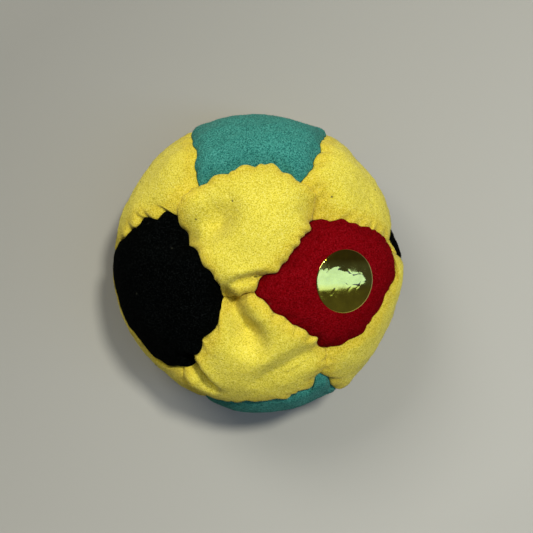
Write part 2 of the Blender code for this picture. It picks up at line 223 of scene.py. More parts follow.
# Folds in the slack skin: places in degrees, depth, half width, how sharp, the height of the
# lip on the left of the way along it, and the share of the depth that it starts with
FOLDS = {
    "belly": (
        ((-73.5, 82.7), (-102, 82.3), (-124, 80.1), (-136, 76.8), (-140.4, 73.0), (-143.4, 69.8)),
        0.0022, 0.0008, 1.2, -0.0006, 0.6),
    "dent": (
        ((-132.4, 64.0), (-119.5, 61.4), (-109.3, 58.5), (-101.7, 55.1), (-94.9, 52.1), (-88.0, 48.4),
         (-82.0, 44.6)),
        0.0054, 0.0027, 2.0, 0.0003, 0.7),
    "pinch": (
        ((-125.3, 30.5), (-120.5, 28.7), (-116.3, 27.3), (-112.9, 25.5), (-109.2, 23.6), (-106.2, 22.0)),
        0.0054, 0.0013, 1.3, 0.0009, 0.7),
    "sweep": (
        ((-57.2, 37.9), (-63.3, 40.1), (-68.9, 40.7), (-80.0, 38.1), (-89.6, 34.5), (-97.1, 30.8)),
        0.0013, 0.0023, 1.8, -0.0004, 0.5),
    "waist": (
        ((161.4, 47.5), (155.3, 52.9), (148.1, 57.0), (138.9, 59.8), (126.4, 60.5), (113.5, 59.6),
         (101.5, 58.0)),
        0.0040, 0.0036, 2.0, 0.0, 1.0),
}
# How fast a fold sets out and ends, and where its lip lies and how wide it is in half widths
FOLD_START = 3
FOLD_END = 2.2
LIP_AWAY = 1.6
LIP_WIDTH = 1.2
HOLLOWS = {
    "beside the red corner": ((44.8, 51.0), 0.0022, 0.0034),
    "along the red seam": ((35.1, 47.8), 0.0010, 0.0030),
    "pinched seam in the middle": ((-118.0, 70.5), 0.0007, 0.0034),
    "tucked corner at the right": ((7.5, 8.0), 0.0028, 0.0036),
    "puff by the black seam": ((151.1, 56.9), -0.0014, 0.0021),
    "black panel at the limb": ((180.0, 6.0), -0.0006, 0.0070),
    "black corner at the limb": ((4.0, 2.0), -0.0006, 0.0032),
    "ridge by the black corner": ((-114.6, 58.5), -0.0008, 0.0028),
    "flap beside the pinch": ((-119.0, 22.0), -0.0009, 0.0024),
    "ridge by the red corner": ((-81.0, 65.5), -0.0005, 0.0022),
    "left teal corner at the limb": ((115.0, 6.0), -0.0007, 0.0026),
    "right teal corner at the limb": ((63.0, 6.0), -0.0007, 0.0026),
    "flat of the teal panel": ((76.0, 6.0), 0.0006, 0.0040),
    "shoulder at the right": ((30.0, 6.0), -0.0007, 0.0050),
    "red corner at the limb": ((4.0, 6.0), -0.0011, 0.0035),
    "slack at the lower left": ((-127.5, 6.0), 0.0006, 0.0050),
    "flap over the front teal panel": ((-55.5, 9.0), -0.0012, 0.0030),
}

# Waves that add up to the soft lumps of the skin: length, share of the height
LUMP_WAVES = ((0.0085, 1.0), (0.0024, 0.35))

# Rows of points across a panel, from its middle out, in and back to its middle
POINTS_AN_ARC = 10
CROWN_ROWS = 32
FOLD_ROWS = 8
ALLOWANCE_ROWS = 5
LINING_ROWS = 11

# Nap: how far the fibres lean, and where and how many times thicker they stand at the rim
FIBRE_LEAN = 0.75
THICK_FROM = 0.93
THICKER = 4

# The seal: points round it and rows out from its middle, how far it clears the suede, the
# length, seed and share of its creases, and the length and seed of its smooth patches
SEAL_SIDES = 96
SEAL_ROWS = 30
SEAL_CLEARANCE = 0.00002
CREASE_WAVES = ((0.0045, 11, 1.0), (0.0016, 12, 0.4))
PATCH_WAVES = (0.008, 13)


class FootbagSuede(bpy.types.PropertyGroup):
    """Sizes and colours of the suede panels."""

    thickness: bpy.props.FloatProperty(
        name="Thickness", description="Thickness of the suede", default=0.0009, unit="LENGTH")
    valley: bpy.props.FloatProperty(
        name="Seam valley", description="Depth of the fold at a seam", default=0.0006, unit="LENGTH")
    pucker: bpy.props.FloatProperty(
        name="Pucker", description="Extra depth of the seam at each stitch", default=0.0005, unit="LENGTH")
    fold_width: bpy.props.FloatProperty(
        name="Fold width", description="Width of the rolled edge at a seam", default=0.0013, unit="LENGTH")
    crinkle: bpy.props.FloatProperty(
        name="Crinkle", description="Depth of the small grooves that run in from each stitch",
        default=0.00014, unit="LENGTH")
    lift: bpy.props.FloatProperty(
        name="Lift", description="How far a panel that folds over another stands above it",
        default=0.0005, unit="LENGTH")
    overhang: bpy.props.FloatProperty(
        name="Overhang", description="How far a rolled edge leans over the next panel",
        default=0.0003, unit="LENGTH")
    lumps: bpy.props.FloatProperty(
        name="Lumps", description="Height of the soft lumps that the filling makes",
        default=0.00013, unit="LENGTH")
    fibre: bpy.props.FloatProperty(
        name="Fibre", description="Length of the longest fibres of the nap", default=0.0006, unit="LENGTH")
    fibre_radius: bpy.props.FloatProperty(
        name="Tuft radius", description="Radius of a tuft of fibres at its root", default=0.000045,
        unit="LENGTH")
    fibres: bpy.props.FloatProperty(
        name="Fibres", description="Standing fibres on a square millimetre", default=6.0)
    long_arcs: bpy.props.IntProperty(
        name="Arcs of a long seam", description="Puckers between the stitches of a long seam", default=7)
    short_arcs: bpy.props.IntProperty(
        name="Arcs of a short seam", description="Puckers between the stitches of a short seam", default=3)
    yellow: bpy.props.FloatVectorProperty(
        name="Yellow", description="Colour of the yellow suede", subtype="COLOR",
        default=(0.80, 0.68, 0.065), min=0.0, max=1.0)
    teal: bpy.props.FloatVectorProperty(
        name="Teal", description="Colour of the teal suede", subtype="COLOR",
        default=(0.045, 0.260, 0.205), min=0.0, max=1.0)
    red: bpy.props.FloatVectorProperty(
        name="Red", description="Colour of the red suede", subtype="COLOR",
        default=(0.205, 0.0009, 0.0030), min=0.0, max=1.0)
    black: bpy.props.FloatVectorProperty(
        name="Black", description="Colour of the black suede", subtype="COLOR",
        default=(0.0004, 0.0008, 0.0006), min=0.0, max=1.0)


class FootbagSeal(bpy.types.PropertyGroup):
    """Size, place and colour of the foil seal."""

    radius: bpy.props.FloatProperty(
        name="Radius", description="Radius of the foil disc", default=0.0061, unit="LENGTH")
    thickness: bpy.props.FloatProperty(
        name="Thickness", description="Thickness of the foil and its backing", default=0.0001, unit="LENGTH")
    crease: bpy.props.FloatProperty(
        name="Crease", description="Height of the creases in the foil", default=0.00003, unit="LENGTH")
    longitude: bpy.props.FloatProperty(
        name="Longitude", description="Where the seal sits, in degrees round from +X", default=-12.3)
    latitude: bpy.props.FloatProperty(
        name="Latitude", description="Where the seal sits, in degrees up from level", default=47.75)
    foil: bpy.props.FloatVectorProperty(
        name="Foil", description="Colour of the foil", subtype="COLOR",
        default=(0.42, 0.37, 0.032), min=0.0, max=1.0)


class FootbagStuffing(bpy.types.PropertyGroup):
    """Sizes and colours of the thread and the filling."""

    thread_radius: bpy.props.FloatProperty(
        name="Thread radius", description="Radius of the sewing thread", default=0.00016, unit="LENGTH")
    grain: bpy.props.FloatProperty(
        name="Grain", description="Height of the grains on the filling", default=0.00012, unit="LENGTH")
    thread: bpy.props.FloatVectorProperty(
        name="Thread", description="Colour of the sewing thread", subtype="COLOR",
        default=(0.35, 0.33, 0.26), min=0.0, max=1.0)
    filling: bpy.props.FloatVectorProperty(
        name="Filling", description="Colour of the filling", subtype="COLOR",
        default=(0.55, 0.50, 0.38), min=0.0, max=1.0)


class FootbagStage(bpy.types.PropertyGroup):
    """The floor and the light."""

    board: bpy.props.FloatVectorProperty(
        name="Board", description="Colour of the board that the bag lies on", subtype="COLOR",
        default=(0.395, 0.385, 0.335), min=0.0, max=1.0)
    sky: bpy.props.FloatProperty(
        name="Sky", description="Strength of the even light from all round", default=0.10, min=0.0)
    key: bpy.props.FloatProperty(
        name="Key lamp", description="Power of the main lamp", default=4.2, unit="POWER")
    key_turn: bpy.props.FloatProperty(
        name="Key turn", description="Direction of the main lamp, in degrees round from +X", default=48.0)
    key_rise: bpy.props.FloatProperty(
        name="Key rise", description="Height of the main lamp, in degrees above level", default=67.0)


def unit(rows):
    return rows / np.linalg.norm(rows, axis=-1, keepdims=True)


def direction(longitude, latitude):
    turn, rise = math.radians(longitude), math.radians(latitude)
    return np.array((math.cos(rise) * math.cos(turn), math.cos(rise) * math.sin(turn), math.sin(rise)))


def outline_share(rays):
    """A smooth closed curve through the outline's shares, read at each direction."""
    shares = np.array(OUTLINE)
    steps = len(shares)
    place = np.arctan2(rays[..., 1], rays[..., 0]) / math.tau * steps
    first = np.floor(place).astype(int)
    part = place - first
    before, start, end, after = (shares[(first + i) % steps] for i in (-1, 0, 1, 2))
    bend = 2 * before - 5 * start + 4 * end - after
    twist = 3 * start - before - 3 * end + after
    return 0.5 * (2 * start + (end - before) * part + bend * part**2 + twist * part**3)


def skin_reach(rays):
    """Distance from the heart to the bag's general form along each direction."""
    depth = np.where(rays[..., 2] > 0, DOME_RISE, SAG)
    level = np.hypot(rays[..., 0] / HALF_WIDTH, rays[..., 1] / HALF_LENGTH) / outline_share(rays)
    up = np.abs(rays[..., 2]) / depth
    return (level**FULLNESS + up**FULLNESS) ** (-1 / FULLNESS)


def on_skin(rays):
    return rays * skin_reach(rays)[..., None]


def above_floor(points):
    """Points that hang below what the bag lies on are lifted straight up."""
    floor = -HEART[2]
    lifted = points.copy()
    height = points[..., 2]
    blend = np.maximum(FLOOR_BLEND - np.abs(height - floor), 0.0) / FLOOR_BLEND
    lifted[..., 2] = np.where(
        height < floor - FLOOR_BLEND, floor, np.maximum(height, floor) + FLOOR_BLEND * blend**2 / 4)
    return lifted


def way_in(points):
    """Unit steps into the bag, square to its general form."""
    depth = np.where(points[..., 2] > 0, DOME_RISE, SAG)
    out = np.stack((
        points[..., 0] / HALF_WIDTH**2, points[..., 1] / HALF_LENGTH**2, points[..., 2] / depth**2), axis=-1)
    return -unit(out)


def to_line(points, line):
    """Each point's distance from a line of points, and how far along it is, from 0 to 1."""
    nearest = np.full(len(points), np.inf)
    along = np.zeros(len(points))
    last = len(line) - 1
    for i in range(last):
        start, way = line[i], line[i + 1] - line[i]
        share = np.clip((points - start) @ way / (way @ way), 0, 1)
        distance = np.linalg.norm(points - start - share[:, None] * way, axis=1)
        closer = distance < nearest
        nearest[closer] = distance[closer]
        along[closer] = (i + share[closer]) / last
    return nearest, along


def waves(points, length, seed):
    """Smooth uneven heights of about one unit, from plane waves in many directions."""
    dice = np.random.default_rng(seed)
    total = np.zeros(len(points))
    count = 24
    for _ in range(count):
        way = unit(dice.normal(size=3)) * math.tau / (length * dice.uniform(0.7, 1.5))
        total += np.cos(points @ way + dice.uniform(0, math.tau))
    return total / math.sqrt(count)


def sunk(points, lumps):
    """How far the slack skin sinks at each point: folds, hollows and soft lumps."""
    total = np.zeros(len(points))
    for places, depth, width, sharpness, lip, opening in FOLDS.values():
        line = on_skin(np.array([direction(*place) for place in places]))
        distance, along = to_line(points, line)
        ending = np.clip(FOLD_END * (1 - along), 0, 1)
        fade = np.minimum(1.0, opening + FOLD_START * along) * ending**2 * (3 - 2 * ending)
        total += depth * fade * np.exp(-((distance / width) ** sharpness))
        left = unit(np.cross(line.mean(axis=0), line[-1] - line[0]))
        side = np.sign((points - line[0]) @ left) * math.copysign(1, lip)
        bulge = np.exp(-(((distance - LIP_AWAY * width) / (LIP_WIDTH * width)) ** 2))
        total -= abs(lip) * fade * (side > 0) * bulge
    for place, depth, width in HOLLOWS.values():
        middle = on_skin(direction(*place)[None])[0]
        total += depth * np.exp(-((np.linalg.norm(points - middle, axis=1) / width) ** 2))
    for seed, (length, share) in enumerate(LUMP_WAVES):
        total += lumps * share * waves(points, length, seed)
    return total


def yellow_name(squares):
    """Name of the six-sided panel between a black, a teal and a red square."""
    return "yellow_panel_" + "_".join(square.split("_")[1] for square in SQUARES if square in squares)


def corner(square, towards):
    """Direction of the corner of one square that points at another."""
    return direction(*CORNERS[square][towards])


def across_seam(owner, start, end):
    """Name of the panel on the other side of one seam of a panel."""
    if start[0] == end[0]:
        yellow = yellow_name({start[0], start[1], end[1]})
        return SQUARES[start[0]] if owner == yellow else yellow
    taken = {start[0], end[0], OPPOSITE[start[0]], OPPOSITE[end[0]]}
    names = [yellow_name({start[0], end[0], third}) for third in SQUARES if third not in taken]
    return names[1] if names[0] == owner else names[0]


def overlap(owner, other):
    """How a panel folds over another, below zero where it lies under it, its arcs and its valley."""
    if (owner, other) in OVERLAPS:
        return OVERLAPS[owner, other]
    if (other, owner) in OVERLAPS:
        amount, arcs, valley = OVERLAPS[other, owner]
        return -amount, arcs, valley
    amount, arcs, valley = USUAL_OVERLAP
    above = owner.startswith("yellow") and (not other.startswith("yellow") or owner < other)
    return amount if above else -amount, arcs, valley


def strays(start, end, share):
    """How far a seam strays to the left of its straight way, in metres, at each share of it."""
    if (start, end) in SEAM_TRACES:
        table = np.array(SEAM_TRACES[start, end]) * STRAY_UNIT
    elif (end, start) in SEAM_TRACES:
        table = -np.array(SEAM_TRACES[end, start])[::-1] * STRAY_UNIT
    else:
        return np.zeros(len(share))
    steps = np.linspace(0, 1, TRACE_STEPS)
    fine = np.interp(steps, np.linspace(0, 1, len(table)), table)
    count = 2 * TRACE_REACH + 1
    soft = np.convolve(np.pad(fine, TRACE_REACH, mode="edge"), np.ones(count) / count, mode="valid")
    soft *= np.minimum(1, TRACE_START * np.minimum(steps, np.linspace(1, 0, TRACE_STEPS)))
    return np.interp(share, steps, soft)


def stitch_places(start, end, arcs, above):
    """Where a seam's stitches fall, how tight each is and how full each arc is.

    A stitch is drawn to where the upper panel's edge draws back, above being 1 if
    that panel lies on the right of the way and -1 if it lies on the left.
    """
    if (start, end) != tuple(sorted((start, end))):
        places, holds, fulls = stitch_places(end, start, arcs, -above)
        return [1 - place for place in reversed(places)], holds[::-1], fulls[::-1]
    dice = random.Random(" ".join(start + end))
    tries = 25
    places = [0.0]
    for i in range(1, arcs):
        wander = dice.uniform(-STITCH_WANDER, STITCH_WANDER)
        near = (i + wander + np.linspace(-STITCH_SEARCH, STITCH_SEARCH, tries)) / arcs
        beside = strays(start, end, near - 0.5 / arcs) + strays(start, end, near + 0.5 / arcs)
        bent = strays(start, end, near) - beside / 2
        pull = STITCH_PULL * np.linspace(-1, 1, tries) ** 2
        places.append(float(near[np.argmin(above * bent + pull)]))
    places.append(1.0)
    holds = [CORNER_HOLD] + [dice.uniform(*STITCH_HOLDS) for _ in range(arcs - 1)] + [CORNER_HOLD]
    fulls = [dice.uniform(*ARC_FULLNESS) for _ in range(arcs)]
    return places, holds, fulls


class Rim:
    """The sewn outline of one panel, anticlockwise from outside, as rows of values."""

    def __init__(self, name, corners, suede):
        self.name = name
        self.suede = suede
        corner_rays = np.array([corner(*key) for key in corners])
        self.centre = unit(corner_rays.sum(axis=0))
        if np.cross(corner_rays[0], corner_rays[1]) @ self.centre < 0:
            corners = corners[::-1]
        nexts = corners[1:] + corners[:1]
        sides = [self.side(start, end) for start, end in zip(corners, nexts)]
        self.sides = [(start, end, len(side[0])) for start, end, side in zip(corners, nexts, sides)]
        self.rays, share, self.pinch, over, valley = (np.concatenate(values) for values in zip(*sides))
        self.calm = unit(self.softened(self.softened(self.rays, POINTS_AN_ARC), POINTS_AN_ARC // 2))
        self.over = self.softened(over, 4)
        self.slack = np.maximum(self.rays[:, 2], 0.0)
        to_corner = (0.5 + 0.5 * np.cos(math.tau * share)) ** 1.5
        flat = 1 - to_corner
        self.broad = self.shares(*BROAD_SHARES) * (BROAD_DEPTH + BROAD_CORNER * to_corner)
        self.tight = self.shares(*TIGHT_SHARES) * valley * (suede.valley + suede.pucker * self.pinch)
        self.lift = suede.lift * self.over * flat * (0.35 + 0.65 * self.slack)
        self.width = suede.fold_width * (1 + 0.5 * self.pinch) * (1 + 0.5 * np.maximum(-self.over, 0))
        self.overhang = suede.overhang * np.maximum(self.over, 0) * (1 - 0.5 * self.pinch) * flat
        self.span = np.linalg.norm(on_skin(self.rays) - on_skin(self.centre[None]), axis=1)
        self.line = self.form(np.zeros(len(self.rays)), np.ones(len(self.rays)))
        self.down = way_in(self.line)
        wide = POINTS_AN_ARC // 2
        along = np.roll(self.line, -wide, axis=0) - np.roll(self.line, wide, axis=0)
        self.inward = unit(np.cross(along, self.down))

    def side(self, start, end):
        """One seam's points up to its last corner: rays, shares, pinches, overlaps and valleys."""
        suede = self.suede
        arcs = suede.long_arcs if start[0] == end[0] else suede.short_arcs
        over, depth, valley = overlap(self.name, across_seam(self.name, start, end))
        above = -1 if over > 0 else 1
        places, holds, fulls = stitch_places(start, end, arcs, above)
        phase = np.arange(arcs * POINTS_AN_ARC) / POINTS_AN_ARC
        share = np.interp(phase, np.arange(arcs + 1), places)
        first, last = corner(*start), corner(*end)
        angle = math.acos(first @ last)
        rays = (np.sin((1 - share) * angle)[:, None] * first + np.sin(share * angle)[:, None] * last)
        rays /= math.sin(angle)
        full = np.array([fulls[int(p)] for p in phase])
        rise = np.minimum(1.0, ARC_START * np.minimum(share, 1 - share))
        arc = depth * full * (np.abs(np.sin(math.pi * phase)) - 0.5) * rise
        if (start, end) in SEAM_TRACES or (end, start) in SEAM_TRACES:
            arc *= TRACED_ARC_SHARE
        wave = (above * arc + strays(start, end, share)) / skin_reach(rays)
        rays = unit(rays + unit(np.cross(first, last)) * wave[:, None])
        pinch = np.interp(phase, np.arange(arcs + 1), holds) * np.abs(np.cos(math.pi * phase)) ** 3
        return rays, share, pinch, np.full(len(share), over), 1 + (valley - 1) * rise

    def shares(self, level, more, under):
        """Level at the bag's waist, with more added towards its top, and under below."""
        return np.where(self.rays[:, 2] > 0, level + more * self.slack, under)

    @staticmethod
    def softened(values, reach):
        return sum(np.roll(values, i, axis=0) for i in range(-reach, reach + 1)) / (2 * reach + 1)

    def form(self, inset, roll=None):
        """Points a share of the way in from the rim, with the valleys, folds and lumps of the skin."""
        away = inset * self.span
        calm = 1 - np.exp(-((away / CALM_REACH) ** 2))
        edge = self.rays + (self.calm - self.rays) * calm[:, None]
        rays = unit(self.centre * inset[:, None] + edge * (1 - inset)[:, None])
        drop = self.broad * (1 - inset) ** 5 - self.lift * np.exp(-((away / LIFT_REACH) ** 2))
        drop += self.suede.crinkle * self.pinch * np.exp(-((away / CRINKLE_REACH) ** 2))
        if roll is not None:
            drop += (self.tight + self.lift) * roll
        points = rays * (skin_reach(rays) - drop)[:, None]
        points += way_in(points) * sunk(on_skin(rays), self.suede.lumps)[:, None]
        return above_floor(points)

    def rows(self):
        """All rows of points from the middle of the face, round the sewn edge, to the middle inside."""
        suede = self.suede
        reach = self.width / self.span
        under = np.maximum(-self.over, 0)
        rows = []
        for i in range(CROWN_ROWS + 1):
            rows.append(self.form(1 - (1 - reach) * i / CROWN_ROWS))
        for i in range(1, FOLD_ROWS + 1):
            turn = math.pi / 2 * (1 - i / FOLD_ROWS)
            round_in, round_up = 1 - math.cos(turn), 1 - math.sin(turn)
            flat_in, flat_up = 1 - i / FOLD_ROWS, (i / FOLD_ROWS) ** 1.7
            inset = reach * ((1 - under) * round_in + under * flat_in)
            roll = (1 - under) * round_up + under * flat_up
            lean = self.overhang * math.sin(2 * turn) - TOUCH_GAP / 2 * math.cos(turn)
            rows.append(self.form(inset, roll) - self.inward * lean[:, None])
        for i in range(1, ALLOWANCE_ROWS + 1):
            apart = SEAM_GAP / 2
            rows.append(self.line + self.inward * apart + self.down * (ALLOWANCE * i / ALLOWANCE_ROWS))
        for i in range(ALLOWANCE_ROWS, -1, -1):
            depth = suede.thickness + (ALLOWANCE - suede.thickness) * i / ALLOWANCE_ROWS
            rows.append(self.line + self.inward * (SEAM_GAP / 2 + suede.thickness) + self.down * depth)
        for i in range(LINING_ROWS):
            outer = rows[round(CROWN_ROWS * (1 - i / LINING_ROWS))]
            rows.append(outer + way_in(outer) * suede.thickness)
        rows.append(rows[0] + way_in(rows[0]) * suede.thickness)
        return rows


def panel_corners():
    """Every panel's node name, colour and corners in order."""
    panels = []
    for square, name in SQUARES.items():
        beside = [other for other in SQUARES if other not in (square, OPPOSITE[square])]
        ring = [beside[0], beside[2], beside[1], beside[3]]
        panels.append((name, square.split("_")[0], [(square, other) for other in ring]))
    for black, teal, red in itertools.product(*PAIRS):
        corners = [(black, teal), (teal, black), (teal, red), (red, teal), (red, black), (black, red)]
        panels.append((yellow_name({black, teal, red}), "yellow", corners))
    return panels


def all_rims():
    suede = bpy.context.scene.footbag_suede
    return {name: (Rim(name, corners, suede), colour) for name, colour, corners in panel_corners()}


def sphere_grid(sides, rows):
    """A closed ball of points in rows from pole to pole, with the row and side of each point."""
    grid = bmesh.new()
    grid.verts.layers.float.new("seam_near")
    bmesh.ops.create_grid(grid, x_segments=sides, y_segments=rows, size=1.0)
    at = {}
    for vertex in grid.verts:
        at[round((vertex.co.y + 1) / 2 * rows), round((vertex.co.x + 1) / 2 * sides)] = vertex
    welds = {at[row, sides]: at[row, 0] for row in range(1, rows)}
    for row in (0, rows):
        welds.update({at[row, side]: at[row, 0] for side in range(1, sides + 1)})
    bmesh.ops.weld_verts(grid, targetmap=welds)
    return grid, {vertex: place for place, vertex in at.items() if vertex.is_valid}


def cut_needle_holes(grid, places, rim):
    """A slit through the allowance at each stitch, walled from its outer to its inner face."""
    at = {place: vertex for vertex, place in places.items()}
    sides = len(rim.rays)
    outer = CROWN_ROWS + FOLD_ROWS + ALLOWANCE_ROWS // 2
    inner = CROWN_ROWS + FOLD_ROWS + 2 * ALLOWANCE_ROWS - 1
    first, slits = 0, []
    for _, _, count in rim.sides:
        for stitch in range(POINTS_AN_ARC, count, POINTS_AN_ARC):
            for row in (outer, inner):
                slits.append([at[row + i, (first + stitch + j) % sides] for i in (0, 1) for j in (-1, 0, 1)])
        first += count
    faces = {f for slit in slits for v in slit for f in v.link_faces if all(w in slit for w in f.verts)}
    bmesh.ops.delete(grid, geom=list(faces), context="FACES_KEEP_BOUNDARY")
    edges = {e for slit in slits for v in slit for e in v.link_edges if e.is_boundary}
    bmesh.ops.bridge_loops(grid, edges=list(edges), use_pairs=True)
    if any(not edge.is_manifold for edge in grid.edges):
        raise RuntimeError(f"the needle holes of {rim.name} are not closed")


def settle(obj, replaced):
    """Puts a piece in the scene on the body and the nodes that it stands for."""
    bpy.context.scene.collection.objects.link(obj)
    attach(obj, "root")
    if replaced:
        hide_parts(*replaced)
    return obj


def object_of(name, grid, material, replaced=()):
    mesh = bpy.data.meshes.new(name)
    grid.to_mesh(mesh)
    grid.free()
    mesh.shade_smooth()
    mesh.materials.append(material)
    return settle(bpy.data.objects.new(name, mesh), replaced)


def sew_panel(rim, colour):
    """One suede panel: its crowned face, rolled edges, allowance with needle holes, and back."""
    rows = rim.rows()
    sides = len(rim.rays)
    grid, places = sphere_grid(sides, len(rows) - 1)
    near = grid.verts.layers.float["seam_near"]
    for vertex, (row, side) in places.items():
        middle = row in (0, len(rows) - 1)
        place = rows[row].mean(axis=0) if middle else rows[row][side]
        vertex.co = Vector(place + HEART)
        away = (1 - row / CROWN_ROWS) * rim.span[side]
        # seam_near drives the painted shade with soiling that darkens the suede towards its seams
        vertex[near] = math.exp(-away / SEAM_SHADE_AND_SOILING_REACH) if row < CROWN_ROWS else 1.0
    cut_needle_holes(grid, places, rim)
    obj = object_of(f"soft_{rim.name}", grid, suede_material(colour), [rim.name])
    return obj


def raise_nap(rim, colour):
    """The suede's longest fibres: thin cones that stand out of one panel's face at all angles."""
    suede = rim.suede
    rows = np.array(rim.rows()[:CROWN_ROWS + FOLD_ROWS // 2])
    beside = np.roll(rows, -1, axis=1)
    across, along = rows[1:] - rows[:-1], beside[:-1] - rows[:-1]
    facing = np.cross(across, along)
    area = np.linalg.norm(facing, axis=2)
    area[rows[:-1, :, 2] < suede.fibre - HEART[2]] = 0
    face = area.sum()
    area[int(CROWN_ROWS * THICK_FROM):] *= THICKER
    dice = np.random.default_rng(len(rim.name) * 7 + len(rim.sides))
    count = int(face * suede.fibres * 1e6)
    picked = dice.choice(area.size, size=count, p=(area / area.sum()).ravel())
    row, side = np.unravel_index(picked, area.shape)
    roots = rows[row, side] + across[row, side] * dice.random((count, 1))
    roots += along[row, side] * dice.random((count, 1))
    out = unit(facing[row, side] + 1e-15)
    out *= np.sign(np.sum(out * roots, axis=1))[:, None]
    way = unit(out + FIBRE_LEAN * unit(dice.normal(size=(count, 3))))
    first = unit(np.cross(way, dice.normal(size=(count, 3))))
    second = np.cross(way, first)
    length = suede.fibre * dice.uniform(0.4, 1.0, size=(count, 1))
    grid = bmesh.new()
    bmesh.ops.create_cone(grid, cap_ends=True, segments=3, radius1=1.0, radius2=0.0, depth=1.0)
    bmesh.ops.remove_doubles(grid, verts=grid.verts, dist=1e-6)
    shape = np.array([vertex.co for vertex in grid.verts])
    cone = bpy.data.meshes.new("fibre")
    grid.to_mesh(cone)
    grid.clear()
    for _ in range(count):
        grid.from_mesh(cone)
    places = (
        roots[:, None] + HEART + shape[None, :, 0, None] * first[:, None] * suede.fibre_radius
        + shape[None, :, 1, None] * second[:, None] * suede.fibre_radius
        + shape[None, :, 2, None] * way[:, None] * length[:, None])
    for vertex, place in zip(grid.verts, places.reshape(-1, 3)):
        vertex.co = place
    bmesh.ops.recalc_face_normals(grid, faces=grid.faces)
    bpy.data.meshes.remove(cone)
    return object_of(f"nap_{rim.name}", grid, suede_material(colour))


class FOOTBAG_OT_nap(bpy.types.Operator):
    """Raise the suede's nap on every panel"""

    bl_idname = "footbag.nap"
    bl_label = "Nap"

    def execute(self, context):
        for rim, colour in all_rims().values():
            raise_nap(rim, colour)
        return {"FINISHED"}


class FOOTBAG_OT_panels(bpy.types.Operator):
    """Sew the six square and eight six-sided suede panels"""

    bl_idname = "footbag.panels"
    bl_label = "Suede panels"

    def execute(self, context):
        for rim, colour in all_rims().values():
            sew_panel(rim, colour)
        return {"FINISHED"}


def running_stitch(rim, first, count, radius):
    """The thread's way along one seam, through each hole to the other side and back."""
    face = SEAM_GAP / 2 + rim.suede.thickness
    reach = face + THREAD_CLEARANCE + radius
    stops = []
    holes = range(first + POINTS_AN_ARC, first + count, POINTS_AN_ARC)
    for i, hole in enumerate(holes):
        steps = [(hole, side) for side in (reach, face, -face, -reach)]
        stops += steps if i % 2 == 0 else steps[::-1]
        if hole != holes[-1]:
            stops.append((hole + POINTS_AN_ARC // 2, reach if i % 2 else -reach))
    if rim.sides[0][0][0] == rim.sides[0][1][0] == rim.sides[1][0][0]:
        stops.append((first + count, reach))
    places = np.array([place for place, _ in stops]) % len(rim.line)
    sides = np.array([side for _, side in stops])
    seam = rim.line[places]
    path = seam + rim.down[places] * (ALLOWANCE / 2) + rim.inward[places] * sides[:, None]
    lumps = rim.suede.lumps
    deeper = np.maximum(sunk(on_skin(unit(path)), lumps) - sunk(on_skin(unit(seam)), lumps), 0)
    return list(path + way_in(path) * deeper[:, None])


def sew_thread(name, path, replaced):
    """A smooth thread along a path."""
    stuffing = bpy.context.scene.footbag_stuffing
    curve = bpy.data.curves.new(name, "CURVE")
    curve.dimensions = "3D"
    curve.bevel_depth = stuffing.thread_radius
    curve.bevel_resolution = 2
    curve.use_fill_caps = True
    spline = curve.splines.new("NURBS")
    spline.points.add(len(path) - 1)
    for point, place in zip(spline.points, path):
        point.co = (*(place + HEART), 1.0)
    spline.order_u = 3
    spline.use_endpoint_u = True
    spline.resolution_u = 4
    curve.materials.append(thread_material())
    return settle(bpy.data.objects.new(name, curve), [replaced])


class FOOTBAG_OT_threads(bpy.types.Operator):
    """Run a thread round each square panel and through each short seam"""

    bl_idname = "footbag.threads"
    bl_label = "Threads"

    def execute(self, context):
        radius = context.scene.footbag_stuffing.thread_radius
        made = set()
        for name, (rim, _) in all_rims().items():
            first, path = 0, []
            for start, end, count in rim.sides:
                run = running_stitch(rim, first, count, radius)
                if start[0] != end[0]:
                    pair = "_".join(sorted((start[0], end[0])))
                    if pair not in made:
                        made.add(pair)
                        sew_thread(f"short_seam_stitches_{pair}", run, f"short_seam_thread_{pair}")
                elif not name.startswith("yellow"):
                    path += run
                first += count
            if path:
                square = next(s for s, node in SQUARES.items() if node == name)
                sew_thread(f"{square}_stitches", path, f"{square}_seam_thread")
        return {"FINISHED"}


class FOOTBAG_OT_filling(bpy.types.Operator):
    """Pour the loose filling: the CAD part's lobes with the grains on them"""

    bl_idname = "footbag.filling"
    bl_label = "Filling"

    def execute(self, context):
        stuffing = context.scene.footbag_stuffing
        grid = bmesh.new()
        grid.from_mesh(frame["nodes"]["filling"].data)
        bmesh.ops.remove_doubles(grid, verts=grid.verts, dist=1e-6)
        bmesh.ops.subdivide_edges(grid, edges=grid.edges, cuts=2, use_grid_fill=True)
        bmesh.ops.triangulate(grid, faces=[f for f in grid.faces if len(f.verts) > 4])
        bmesh.ops.recalc_face_normals(grid, faces=grid.faces)
        points = np.array([vertex.co for vertex in grid.verts]) - HEART
        sink = np.maximum(sunk(on_skin(unit(points)), 0.0), 0.0)
        moved = points + way_in(points) * sink[:, None] + HEART
        for vertex, place in zip(grid.verts, moved):
            grain = abs(noise.noise(vertex.co * 900)) * stuffing.grain
            vertex.co = Vector(place) - vertex.normal * grain
        obj = object_of("grain_filling", grid, filling_material(), ["filling"])
        return {"FINISHED"}


